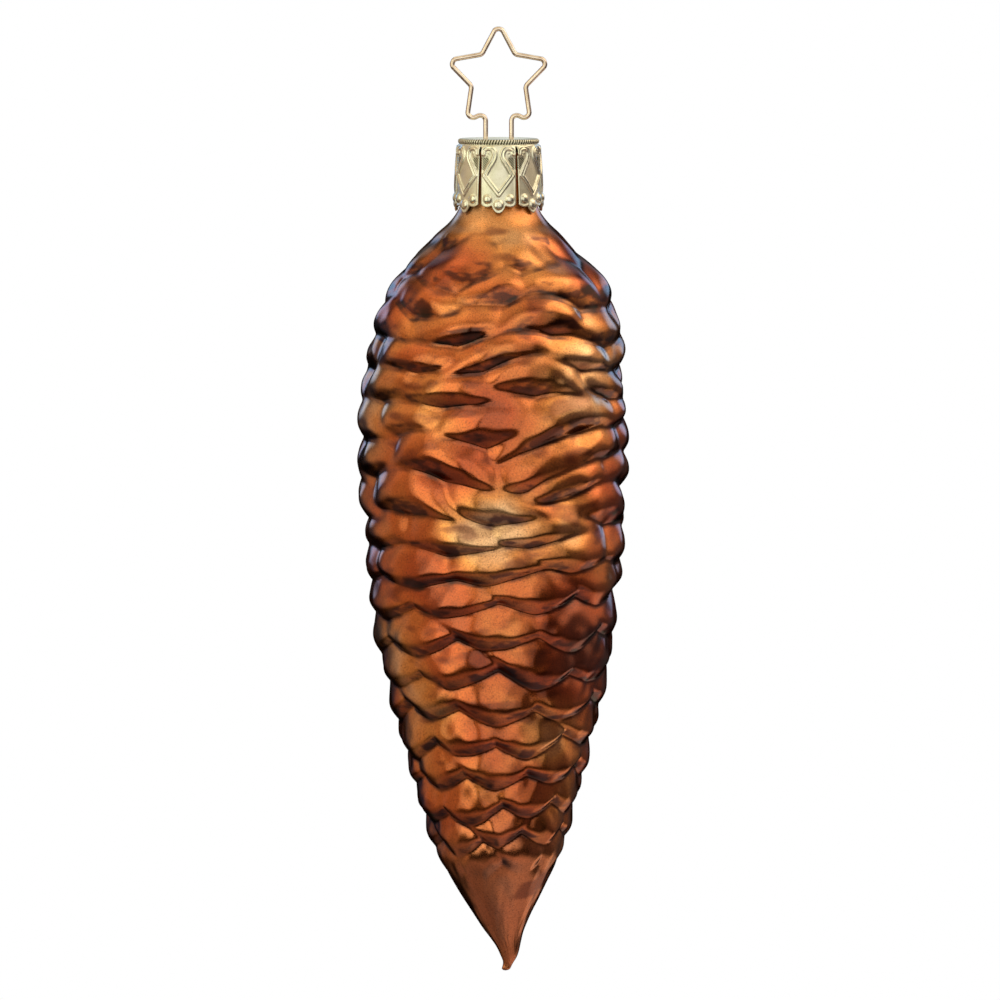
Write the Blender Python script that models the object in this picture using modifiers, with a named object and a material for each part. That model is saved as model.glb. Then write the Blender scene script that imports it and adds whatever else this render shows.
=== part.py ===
"""Blown glass spruce cone ornament: hollow glass body, stamped metal cap and star shaped wire hanger.

The ornament hangs with its tip down. Z is up and the front faces -Y. The origin is the underside of the
hanger wire's top bend, where a hook or a twig bears, so nearly everything lies below z = 0.
"""
import math

import bmesh
import bpy
import numpy as np
from mathutils import Vector

MM = 0.001
GAP = 0.3 * MM                  # clearance that neighbouring pieces keep

# Wire hanger
WIRE = 0.7 * MM                 # wire diameter
STAR_TIP = 7.6 * MM             # centre of the star to its corners, before they are rounded
STAR_NOTCH = 0.52               # inner corners, as a share of the outer ones
STAR_BEND = 0.75 * MM           # bend radius of the wire's centre line
LEG_X = 1.8 * MM                # the two legs pass through the cap this far from the middle
LEG_SPREAD = 3.5 * MM           # and spring out to this inside the neck

# Stamped cap
SHEET = 0.3 * MM                # thickness of the metal
CAP_TOP = -14.9 * MM            # height of the flat top
CAP_R = (5.5 * MM, 6.15 * MM)   # outer radius of the skirt under its rim and at the hem
CAP_HEM = -25.1 * MM            # lowest point of the scallops
HEM_LOBE = 1.7 * MM             # how far the middle scallop of a flap hangs below its corners
FLAPS = 7                       # tongues cut into the skirt
SLIT = 0.42 * MM                # width of the cuts between them
LEG_HOLE = 1.4 * MM             # diameter of the two holes for the wire

# Glass body: height and radius of the mean surface, from the mouth to the sealed nub at the tip
BORE = 4.2 * MM                 # radius of the open neck
WALL = 0.75 * MM                # least wall, under the deepest recess
PROFILE = [(-16.4, 5.1), (-19.5, 5.1), (-22.4, 5.15), (-24.4, 5.45), (-25.6, 6.1), (-26.7, 7.0), (-28.2, 8.7),
           (-30.2, 10.6), (-32.6, 12.9), (-35.8, 15.3), (-39.5, 16.7), (-44.5, 17.8), (-51.0, 18.5),
           (-59.0, 18.7), (-67.0, 18.3), (-76.0, 17.6), (-85.0, 16.5), (-93.5, 14.7), (-102.0, 12.6),
           (-110.0, 10.4), (-115.5, 8.65), (-119.5, 6.55), (-124.5, 3.8), (-128.2, 1.9), (-130.0, 1.2),
           (-130.9, 0.8), (-131.5, 0.7)]
TIP = -132.0 * MM
# sideways lean of the body's axis by height: a slight belly to the left, the drawn tip to the right
LEAN = [(-16.4, 0.0), (-30.0, 0.0), (-56.0, -0.85), (-72.0, -0.7), (-90.0, -0.42), (-112.0, 0.0),
        (-121.0, 0.3), (-126.0, 0.75), (-129.4, 1.45), (-130.4, 1.45), (-132.0, 0.95)]

# Scales of the cone, moulded in relief along one flat spiral
AROUND = 8.5                    # scales in one turn, so that each turn sits half a scale off the last
ROWS = 19                       # turns between the shoulder and the tip
FIELD = (-26.0 * MM, -117.5 * MM)
DEPTH = 1.5 * MM                # height of one scale's lip over its root
SEED = 41


def smooth_through(stations, at):
    """Read a smooth curve through (height, value) stations, given in millimetres, at heights in metres."""
    x = np.array([p[0] for p in stations])[::-1] * MM
    y = np.array([p[1] for p in stations])[::-1] * MM
    slope = np.gradient(y, x)
    at = np.clip(at, x[0], x[-1])
    i = np.clip(np.searchsorted(x, at) - 1, 0, len(x) - 2)
    step = x[i + 1] - x[i]
    t = (at - x[i]) / step
    return (y[i] * (2 * t**3 - 3 * t**2 + 1) + slope[i] * step * (t**3 - 2 * t**2 + t)
            + y[i + 1] * (3 * t**2 - 2 * t**3) + slope[i + 1] * step * (t**3 - t**2))


def soft_max(a, b, k):
    h = np.maximum(k - np.abs(a - b), 0.0) / k
    return np.maximum(a, b) + h * h * k / 4


def soft_step(x, low, high):
    t = np.clip((x - low) / (high - low), 0.0, 1.0)
    return t * t * (3 - 2 * t)


def ripple(phi, row, draw, waves, turns, rows):
    """Slow waves that close round the body: each has a whole number of turns and a random phase."""
    total = 0.0
    for _ in range(waves):
        n = draw.integers(-turns, turns + 1)
        total = total + np.sin(n * phi + draw.uniform(0.3, 1.0) * rows * row + draw.uniform(0, 2 * math.pi))
    return total / math.sqrt(waves)


def scale_relief(phi, z):
    """Height of the moulded scales over the mean surface, at the angle phi from the front and the height z.

    Every scale is a tilted shingle: its face rises towards the tip of the cone up to a rounded ridge, a lip
    falls away below it, and the highest of the shingles at a point is what shows. Lips fall gently on the
    shoulder and steeply in the lower half; the upper half is pressed deeper and less evenly.
    """
    draw = np.random.default_rng(SEED)
    count = int((ROWS + 12) * AROUND)
    shift_u, shift_v, tilt, lift, ridge, slant = draw.uniform(-1.0, 1.0, (6, count))
    t = (FIELD[0] - z) / (FIELD[0] - FIELD[1])
    row = ROWS * (t + 0.07 * np.sin(2 * math.pi * t) / (2 * math.pi))
    lower = soft_step(t, 0.42, 0.62)
    upper = soft_step(t, -0.04, 0.10) * (1 - lower)
    rough = 0.55 + 0.75 * upper
    phi_waved = phi + rough * 0.045 * ripple(phi, row, draw, 6, 6, 1.3)
    row_waved = row + rough * 0.18 * ripple(phi, row, draw, 6, 7, 1.0)
    swell = (0.055 + 0.055 * upper) * ripple(phi, row, draw, 12, 17, 3.4)
    streak = 0.10 * (1 - soft_step(t, 0.10, 0.30)) * ripple(phi, row, draw, 8, 5, 6.0)
    side_drop = 0.36 - 0.14 * upper
    shoulder = 1 - soft_step(t, 0.12, 0.24)
    steep = 1.0 - 0.65 * shoulder + 0.6 * lower
    ridge_round = 0.23 + 0.06 * upper - 0.17 * shoulder
    foot_round = 0.09 + 0.05 * upper * (1 - shoulder)
    step = 2 * math.pi / AROUND
    nearest = np.floor(row * AROUND).astype(int)
    height = np.full(np.broadcast(phi, z).shape, -2.0)
    for offset in range(-24, 25):
        k = nearest + offset
        i = np.clip(k + int(6 * AROUND), 0, count - 1)
        turn = (phi_waved + k * step + math.pi) % (2 * math.pi) - math.pi
        u = turn / (step / 2) + rough * 0.14 * shift_u[i]
        v = row_waved - k / AROUND + rough * (0.11 * shift_v[i] + 0.14 * tilt[i] * u)
        edge = 0.22 - 0.10 * upper - 0.08 * ridge[i] + (0.21 - 0.43 * upper) * u * u     # where its ridge runs
        down = v + edge                                     # rows below that ridge
        face = 1.0 + 0.64 * down - 0.26 * down * down
        lip = 1.0 - (steep + 2.6 * lower * u * u) * (0.45 * down + 1.15 * np.maximum(down, 0.0)**2)
        shingle = -soft_max(-face, -lip, ridge_round) - side_drop * u * u
        shingle = shingle + rough * 0.13 * lift[i] + 0.07 * slant[i] * u
        height = soft_max(height, np.where(np.abs(u) < 2.2, shingle, -2.0), foot_round)
    moulded = (1 + 0.6 * upper) * soft_step(t, 0.0, 0.07) * (1 - soft_step(t, 0.93, 1.02))
    faint = soft_step(t, -0.01, 0.06) * (1 - soft_step(t, 1.0, 1.10))
    return DEPTH * (moulded * (height - 0.62 - 0.18 * upper) + faint * (swell + streak))


def point_on_glass(phi, z, radius):
    return np.stack([smooth_through(LEAN, z) + radius * np.sin(phi), -radius * np.cos(phi), z], axis=-1)


def finish(obj, colour, roughness, metallic=1.0, smooth_angle=50):
    material = bpy.data.materials.new(obj.name + "_finish")
    material.use_nodes = True
    shader = material.node_tree.nodes["Principled BSDF"]
    shader.inputs["Base Color"].default_value = (*colour, 1.0)
    shader.inputs["Roughness"].default_value = roughness
    shader.inputs["Metallic"].default_value = metallic
    obj.data.materials.append(material)
    if obj.type == "MESH":
        obj.data.shade_smooth()
        obj.data.set_sharp_from_angle(angle=math.radians(smooth_angle))


def add(name, data, collection):
    obj = bpy.data.objects.new(name, data)
    collection.objects.link(obj)
    return obj


def mesh_from(name, verts, faces):
    mesh = bpy.data.meshes.new(name)
    bm = bmesh.new()
    points = [bm.verts.new(v) for v in verts]
    for face in faces:
        bm.faces.new([points[i] for i in face])
    bmesh.ops.triangulate(bm, faces=bm.faces, quad_method="SHORT_EDGE")
    bmesh.ops.recalc_face_normals(bm, faces=bm.faces)
    bm.to_mesh(mesh)
    bm.free()
    return mesh


def glass_body(collection):
    """Outer skin with the scales, and a smooth inner skin, both built ring by ring from the formulas."""
    sides, inner_sides = 57, 19
    rings = np.concatenate([np.array([-16.4, -19.5, -22.4, -24.0, -25.2, -26.3]) * MM,
                            np.linspace(-27.3 * MM, -118.0 * MM, 63),
                            np.array([-120.3, -123.0, -125.6, -128.0, -129.6, -130.4, -130.9, -131.5]) * MM])
    phi = np.arange(sides) * 2 * math.pi / sides
    grid_phi, grid_z = np.meshgrid(phi, rings)
    radius = smooth_through(PROFILE, grid_z) + scale_relief(grid_phi, grid_z)
    verts = [tuple(p) for p in point_on_glass(grid_phi, grid_z, radius).reshape(-1, 3)]
    faces = []
    for j in range(len(rings) - 1):
        for i in range(sides):
            a, b = j * sides + i, j * sides + (i + 1) % sides
            faces.append((a, b, b + sides, a + sides))
    last = (len(rings) - 1) * sides
    verts.append((smooth_through(LEAN, np.array(TIP)).item(), 0.0, TIP))
    faces += [(last + i, last + (i + 1) % sides, len(verts) - 1) for i in range(sides)]

    inner_rings = np.concatenate([np.array([-16.4, -20.0, -24.2, -26.6]) * MM,
                                  np.linspace(-29.0 * MM, -121.0 * MM, 17)])
    start = len(verts)
    phi = np.arange(inner_sides) * 2 * math.pi / inner_sides
    grid_phi, grid_z = np.meshgrid(phi, inner_rings)
    # the root of the deepest recess lies well below the mean surface, so the inner skin keeps clear of it
    inset = WALL + 1.35 * MM * soft_step(-grid_z, 26.0 * MM, 32.0 * MM)
    radius = np.maximum(smooth_through(PROFILE, grid_z) - inset, 0.9 * MM)
    radius = np.where(grid_z > -25.0 * MM, BORE, radius) / math.cos(math.pi / inner_sides / 2)
    verts += [tuple(p) for p in point_on_glass(grid_phi, grid_z, radius).reshape(-1, 3)]
    for j in range(len(inner_rings) - 1):
        for i in range(inner_sides):
            a, b = start + j * inner_sides + i, start + j * inner_sides + (i + 1) % inner_sides
            faces.append((b, a, a + inner_sides, b + inner_sides))
    last = start + (len(inner_rings) - 1) * inner_sides
    verts.append((smooth_through(LEAN, inner_rings[-1] - 1.0 * MM).item(), 0.0, inner_rings[-1] - 1.0 * MM))
    faces += [(last + (i + 1) % inner_sides, last + i, len(verts) - 1) for i in range(inner_sides)]

    # the fire polished mouth joins three outer sides to each inner one
    for i in range(inner_sides):
        here, onward = start + i, start + (i + 1) % inner_sides
        a, b, c, d = (3 * i, 3 * i + 1, 3 * i + 2, (3 * i + 3) % sides)
        faces += [(b, a, here), (c, b, here), (c, here, onward), (d, c, onward)]
    glass = add("glass", mesh_from("glass", verts, faces), collection)
    finish(glass, (0.42, 0.15, 0.04), 0.3, metallic=0.9)
    return glass


def closed_ring(sections):
    """Faces of a ring whose sections, all with as many points, follow each other round the axis."""
    count, m = len(sections), len(sections[0])
    verts = [p for section in sections for p in section]
    faces = [(n * m + i, n * m + (i + 1) % m, ((n + 1) % count) * m + (i + 1) % m, ((n + 1) % count) * m + i)
             for n in range(count) for i in range(m)]
    return verts, faces


def around(phi, radius, z):
    return (radius * math.sin(phi), -radius * math.cos(phi), z)


def hem_height(phi):
    """Lower edge of the skirt: each flap ends in two corner lobes and a longer middle lobe."""
    across = ((phi * FLAPS / (2 * math.pi) + 0.5) % 1.0) * 2 - 1        # -1 to 1 over one flap
    middle = math.sqrt(max(0.0, 1 - (across / 0.40)**2))
    side = math.sqrt(max(0.0, 1 - ((abs(across) - 0.66) / 0.40)**2))
    return CAP_HEM + HEM_LOBE - max(HEM_LOBE * middle, 0.5 * HEM_LOBE * side)


def cap_radius(z):
    """Outer radius of the skirt, which flares slowly from under the rolled rim to the hem."""
    drop = min(max((CAP_TOP - z) / (CAP_TOP - CAP_HEM), 0.0), 1.0)
    return CAP_R[0] + (CAP_R[1] - CAP_R[0]) * drop**0.6


def raised_bar(points, width, rise, sink):
    """A bar along points (phi, z) on the skirt, sunk into the sheet and standing proud of it."""
    verts = []
    for n, (phi, z) in enumerate(points):
        before, after = points[max(n - 1, 0)], points[min(n + 1, len(points) - 1)]
        r = cap_radius(z)
        along = Vector(((after[0] - before[0]) * r, after[1] - before[1])).normalized()
        side = Vector((-along.y, along.x)) * width / 2
        for share, lift in ((1.0, -sink), (0.5, rise), (-0.5, rise), (-1.0, -sink)):
            verts.append(around(phi + side.x * share / r, r + lift, z + side.y * share))
    faces = [(n * 4 + i, n * 4 + (i + 1) % 4, n * 4 + 4 + (i + 1) % 4, n * 4 + 4 + i)
             for n in range(len(points) - 1) for i in range(4)]
    faces += [(3, 2, 1, 0), tuple(len(verts) - 4 + i for i in range(4))]
    return verts, faces


def lyre_line(middle):
    """A flap's ornament as one line (phi, z): a curl, down round the lozenge and up to the other curl."""
    half = [(1.72, -5.3), (0.78, -3.7), (0.72, -2.3), (1.35, -1.7), (1.75, -2.4)]
    path = [(-x, z) for x, z in reversed(half)] + [(0.0, -7.6)] + half
    return [(middle + x * MM / CAP_R[1], CAP_TOP + z * MM) for x, z in path]


def boolean(obj, operation, collection):
    modifier = obj.modifiers.new(operation.lower(), "BOOLEAN")
    modifier.operation = operation
    modifier.solver = "EXACT"
    modifier.operand_type = "COLLECTION"
    modifier.collection = collection


def group(name, parent):
    collection = bpy.data.collections.new(name)
    parent.children.link(collection)
    return collection


def tool(name, shape, collection):
    obj = add(name, mesh_from(name, *shape), collection)
    obj.hide_render = True
    obj.display_type = "WIRE"
    return obj


def metal_cap(collection, helpers):
    """Sheet cap: a turned shell, slit into flaps and scalloped, with its stamped ornament raised from it."""
    rim = [(0.0, 0.0), (3.0, 0.0), (5.25, 0.0), (5.62, 0.22), (5.66, 0.55), (5.48, 0.85)]
    profile = [(r * MM, CAP_TOP - d * MM) for r, d in rim]
    profile += [(cap_radius(z), z) for z in (CAP_TOP - d * MM for d in (1.35, 3.2, 6.4))]
    profile.append((CAP_R[1], CAP_HEM - 0.3 * MM))
    mesh = bpy.data.meshes.new("cap")
    mesh.from_pydata([(r, 0.0, z) for r, z in profile], [(i, i + 1) for i in range(len(profile) - 1)], [])
    cap = add("cap", mesh, collection)
    turn = cap.modifiers.new("turn", "SCREW")
    turn.axis = "Z"
    turn.steps = turn.render_steps = 6 * FLAPS
    turn.use_merge_vertices = True
    turn.merge_threshold = 0.01 * MM
    turn.use_normal_calculate = True
    sheet = cap.modifiers.new("sheet", "SOLIDIFY")
    sheet.thickness = SHEET
    sheet.offset = -1.0
    sheet.use_even_offset = True

    cuts = group("cap_cuts", helpers)
    count = 12 * FLAPS
    sections = []
    for n in range(count):
        phi = (n + 0.37) * 2 * math.pi / count
        top = hem_height(phi)
        low = CAP_HEM - 2.0 * MM
        sections.append([around(phi, 4.6 * MM, top), around(phi, 7.6 * MM, top), around(phi, 7.6 * MM, low),
                         around(phi, 4.6 * MM, low)])
    tool("hem_cut", closed_ring(sections), cuts)
    for n in range(FLAPS):
        middle = (n + 0.5) * 2 * math.pi / FLAPS
        corners = []
        for radius in (4.7 * MM, 7.4 * MM):
            for z, half in ((CAP_TOP - 1.05 * MM, SLIT * 0.36), (CAP_HEM - 1.0 * MM, SLIT * 0.62)):
                for side in (-1, 1):
                    corners.append(around(middle + side * half / (6.0 * MM), radius, z))
        tool(f"slit_{n}", (corners, [(0, 1, 3, 2), (4, 6, 7, 5), (0, 4, 5, 1), (2, 3, 7, 6), (0, 2, 6, 4),
                                     (1, 5, 7, 3)]), cuts)
    for name, x in (("left", -LEG_X), ("right", LEG_X)):
        rim = [(x + LEG_HOLE / 2 * math.cos(a), LEG_HOLE / 2 * math.sin(a))
               for a in (math.pi / 5 * (i + 0.3) for i in range(10))]
        verts = [(px, py, z) for z in (CAP_TOP + MM, CAP_TOP - MM) for px, py in rim]
        faces = [tuple(range(10)), tuple(range(19, 9, -1))]
        faces += [(i, 10 + i, 10 + (i + 1) % 10, (i + 1) % 10) for i in range(10)]
        tool("leg_hole_" + name, (verts, faces), cuts)
    boolean(cap, "DIFFERENCE", cuts)

    ornament = group("cap_ornament", helpers)
    for n in range(FLAPS):
        middle = n * 2 * math.pi / FLAPS
        tool(f"lyre_{n}", raised_bar(lyre_line(middle), 0.5 * MM, 0.17 * MM, 0.16 * MM), ornament)
        for x, z in ((-1.5, -8.55), (0.0, -9.2), (1.5, -8.55)):
            bead = tool(f"bead_{n}_{x}", ([], []), ornament)
            bm = bmesh.new()
            bmesh.ops.create_uvsphere(bm, u_segments=6, v_segments=4, radius=0.48 * MM)
            z = CAP_TOP + z * MM
            centre = Vector(around(middle + x * MM / cap_radius(z), cap_radius(z) - 0.08 * MM, z))
            turned = Vector((centre.x, centre.y, 0.0)).to_track_quat("Z", "Y").to_matrix().to_4x4()
            bmesh.ops.transform(bm, matrix=turned, verts=bm.verts)
            bmesh.ops.translate(bm, vec=centre, verts=bm.verts)
            bm.to_mesh(bead.data)
            bm.free()
    boolean(cap, "UNION", ornament)
    finish(cap, (0.72, 0.66, 0.52), 0.35)
    return cap


def bent_wire(corners, radius):
    """Points along a wire through its corners (x, z), each bent round an arc of the given radius."""
    points = [Vector(corners[0])]
    for before, corner, after in zip(corners, corners[1:], corners[2:]):
        corner = Vector(corner)
        to, onward = (Vector(before) - corner).normalized(), (Vector(after) - corner).normalized()
        half = to.angle(onward) / 2
        centre = corner + (to + onward).normalized() * radius / math.sin(half)
        start = corner + to * radius / math.tan(half) - centre
        sweep = start.angle_signed(corner + onward * radius / math.tan(half) - centre)
        steps = max(4, round(abs(sweep) / 0.24))
        for n in range(steps + 1):
            a = -sweep * n / steps
            points.append(centre + Vector((start.x * math.cos(a) - start.y * math.sin(a),
                                           start.x * math.sin(a) + start.y * math.cos(a))))
    return points + [Vector(corners[-1])]


def star_corners():
    """Corners (x, z) of the wire from one spring leg in the neck, round the star, to the other."""
    middle = WIRE / 2 - STAR_TIP + STAR_BEND * (1 / math.sin(math.radians(27.8)) - 1)
    right = []
    for degrees, reach in ((54, STAR_NOTCH), (18, 1.0), (-18, STAR_NOTCH), (-54, 1.0)):
        right.append((STAR_TIP * reach * math.cos(math.radians(degrees)),
                      middle + STAR_TIP * reach * math.sin(math.radians(degrees))))
    foot = right[-1]
    notch = middle - STAR_TIP * STAR_NOTCH
    right.append((LEG_X, foot[1] + (notch - foot[1]) * (foot[0] - LEG_X) / foot[0]))
    right += [(LEG_X, CAP_TOP - 0.9 * MM), (LEG_SPREAD, CAP_TOP - 3.4 * MM), (LEG_SPREAD, -25.2 * MM),
              (7.2 * MM, -31.0 * MM)]
    left = [(-x, z) for x, z in reversed(right)]
    return left + [(0.0, middle + STAR_TIP)] + right


def wire_hanger(collection):
    """One piece of wire bent to a five pointed star, its two ends springing open inside the neck."""
    curve = bpy.data.curves.new("hanger", "CURVE")
    curve.dimensions = "3D"
    curve.bevel_depth = WIRE / 2
    curve.bevel_resolution = 2
    curve.use_fill_caps = True
    points = bent_wire(star_corners(), STAR_BEND)
    spline = curve.splines.new("POLY")
    spline.points.add(len(points) - 1)
    for point, (x, z) in zip(spline.points, points):
        point.co = (x, 0.0, z, 1.0)
    hanger = add("hanger", curve, collection)
    finish(hanger, (0.78, 0.60, 0.50), 0.3)
    return hanger


def build():
    for obj in list(bpy.data.objects):
        bpy.data.objects.remove(obj, do_unlink=True)
    scene = bpy.context.scene.collection
    model = group("glass_cone_ornament", scene)
    helpers = group("cutters", scene)
    glass_body(model)
    metal_cap(model, helpers)
    wire_hanger(model)


build()
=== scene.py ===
# %% [markdown]
# # A blown glass spruce cone
#
# The object is a Christmas tree ornament: thin glass blown into a cone shaped mould, silvered inside,
# lacquered amber brown outside, and closed by a stamped metal cap with a wire star to hang it by. It hangs
# with its tip down. The origin is the underside of the wire's top bend, Z is up, and the front faces -Y.
# Lengths in the drawings of such things are millimetres, so the numbers below are too, and `MM` turns them
# into metres.

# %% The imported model
import math

import bmesh
import bpy
import numpy as np
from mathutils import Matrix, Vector
from mathutils.geometry import delaunay_2d_cdt


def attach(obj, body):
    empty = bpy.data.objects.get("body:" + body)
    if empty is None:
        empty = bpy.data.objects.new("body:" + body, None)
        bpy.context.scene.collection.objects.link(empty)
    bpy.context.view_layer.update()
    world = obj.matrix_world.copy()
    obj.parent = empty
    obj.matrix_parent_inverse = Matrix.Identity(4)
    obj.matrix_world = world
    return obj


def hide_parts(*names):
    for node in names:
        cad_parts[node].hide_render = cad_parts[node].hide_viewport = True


MM = 0.001
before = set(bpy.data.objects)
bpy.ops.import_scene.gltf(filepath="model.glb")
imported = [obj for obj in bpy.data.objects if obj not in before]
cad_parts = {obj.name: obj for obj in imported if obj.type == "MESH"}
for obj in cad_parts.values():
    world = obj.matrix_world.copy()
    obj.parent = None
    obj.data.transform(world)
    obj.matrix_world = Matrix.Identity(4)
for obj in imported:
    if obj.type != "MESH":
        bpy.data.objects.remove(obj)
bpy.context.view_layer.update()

# %% [markdown]
# ## The camera
#
# A product picture of a small ornament is taken from a metre or so away with a long lens, so that its sides
# run almost parallel. The camera stands a little above the middle and looks down on it by five degrees,
# which just shows the cap's flat top as a thin ellipse. The lens follows from the distance: at one metre,
# the picture is 140 mm wide.

# %% Camera
AIM = Vector((0.2 * MM, 0.0, -65.5 * MM))
DISTANCE = 1.0
PICTURE_WIDTH = 140 * MM
LOOK_DOWN = math.radians(5.0)


def new_object(name, data):
    """An object in the scene from its mesh, light or camera."""
    made = bpy.data.objects.new(name, data)
    bpy.context.scene.collection.objects.link(made)
    return made


camera_data = bpy.data.cameras.new("camera")
camera_data.sensor_width = 36.0
camera_data.lens = camera_data.sensor_width * DISTANCE / PICTURE_WIDTH
camera = new_object("camera", camera_data)
camera.location = AIM + Vector((0.0, -math.cos(LOOK_DOWN), math.sin(LOOK_DOWN))) * DISTANCE
camera.rotation_euler = (math.radians(90) - LOOK_DOWN, 0.0, 0.0)
bpy.context.scene.camera = camera
print("lens", round(camera_data.lens), "mm")

# %% [markdown]
# ## The mean shape of the glass
#
# Without its scales the body is a turned form: a straight neck, a shoulder, a long belly and a drawn tip
# that ends in the little nub where the glass was sealed. Its radius is given at a few heights and read as a
# smooth curve between them. The axis isn't quite straight, since the glass was pulled by hand, so a second
# curve gives its sideways lean. A lathe curve with a Screw modifier could make this too, but the scales
# need the radius as a formula, so that they can be added to it.

# %% Profile and lean
PROFILE = [(-16.4, 5.1), (-19.5, 5.1), (-22.4, 5.15), (-24.4, 5.45), (-25.6, 6.1), (-26.7, 7.0), (-28.2, 8.7),
           (-30.2, 10.6), (-32.6, 12.9), (-35.8, 15.3), (-39.5, 16.7), (-44.5, 17.8), (-51.0, 18.5),
           (-59.0, 18.7), (-67.0, 18.3), (-76.0, 17.6), (-85.0, 16.5), (-93.5, 14.7), (-102.0, 12.6),
           (-110.0, 10.4), (-115.5, 8.65), (-119.5, 6.55), (-124.5, 3.8), (-128.2, 1.9), (-130.0, 1.2),
           (-130.9, 0.8), (-131.5, 0.7)]
LEAN = [(-16.4, 0.0), (-30.0, 0.0), (-56.0, -0.85), (-72.0, -0.7), (-90.0, -0.42), (-112.0, 0.0),
        (-121.0, 0.3), (-126.0, 0.75), (-129.4, 1.45), (-130.4, 1.45), (-132.0, 0.95)]
TIP = -132.0 * MM


def smooth_through(stations, at):
    """Read a smooth curve through (height, value) stations, given in millimetres, at heights in metres."""
    x = np.array([p[0] for p in stations])[::-1] * MM
    y = np.array([p[1] for p in stations])[::-1] * MM
    slope = np.gradient(y, x)
    at = np.clip(at, x[0], x[-1])
    i = np.clip(np.searchsorted(x, at) - 1, 0, len(x) - 2)
    step = x[i + 1] - x[i]
    t = (at - x[i]) / step
    return (y[i] * (2 * t**3 - 3 * t**2 + 1) + slope[i] * step * (t**3 - 2 * t**2 + t)
            + y[i + 1] * (3 * t**2 - 2 * t**3) + slope[i + 1] * step * (t**3 - t**2))


def point_on_glass(phi, z, radius):
    return np.stack([smooth_through(LEAN, z) + radius * np.sin(phi), -radius * np.cos(phi), z], axis=-1)


belly = max(PROFILE, key=lambda station: station[1])
print("belly", 2 * belly[1], "mm wide at", belly[0], "mm")

# %% [markdown]
# ## The moulded scales
#
# The scales follow one flat spiral, as on a grown cone: eight and a half to a turn, so each turn sits half
# a scale off the last. Each scale is a tilted shingle. Its face rises towards the tip up to a rounded
# ridge, a lip falls away below, and wherever shingles overlap the highest one shows. Taking that highest
# one with a soft maximum leaves the narrow, rounded creases that hot glass makes in a mould. Slow random
# waves and small random shifts keep the rows from looking printed; the upper half is pressed deeper and
# less evenly. Sculpting would also do this, but a formula gives the same cone every time, and the solid
# model uses the same one.

# %% Soft shapes
def soft_max(a, b, k):
    """The larger of two values, with the crossing rounded over the width k."""
    h = np.maximum(k - np.abs(a - b), 0.0) / k
    return np.maximum(a, b) + h * h * k / 4


def soft_step(x, low, high):
    """0 below low, 1 above high and a smooth rise between."""
    t = np.clip((x - low) / (high - low), 0.0, 1.0)
    return t * t * (3 - 2 * t)


def ripple(phi, row, draw, waves, turns, rows):
    """Slow waves that close round the body: each has a whole number of turns and a random phase."""
    total = 0.0
    for _ in range(waves):
        n = draw.integers(-turns, turns + 1)
        total = total + np.sin(n * phi + draw.uniform(0.3, 1.0) * rows * row + draw.uniform(0, 2 * math.pi))
    return total / math.sqrt(waves)


# %% Relief formula
AROUND = 8.5                    # scales in one turn of the spiral
ROWS = 19
FIELD = (-26.0 * MM, -117.5 * MM)
DEPTH = 1.5 * MM
SEED = 41
NEIGHBOURS = 24                 # scales looked at to either side along the spiral
LOWEST = -2.0                   # a height below every scale


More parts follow.
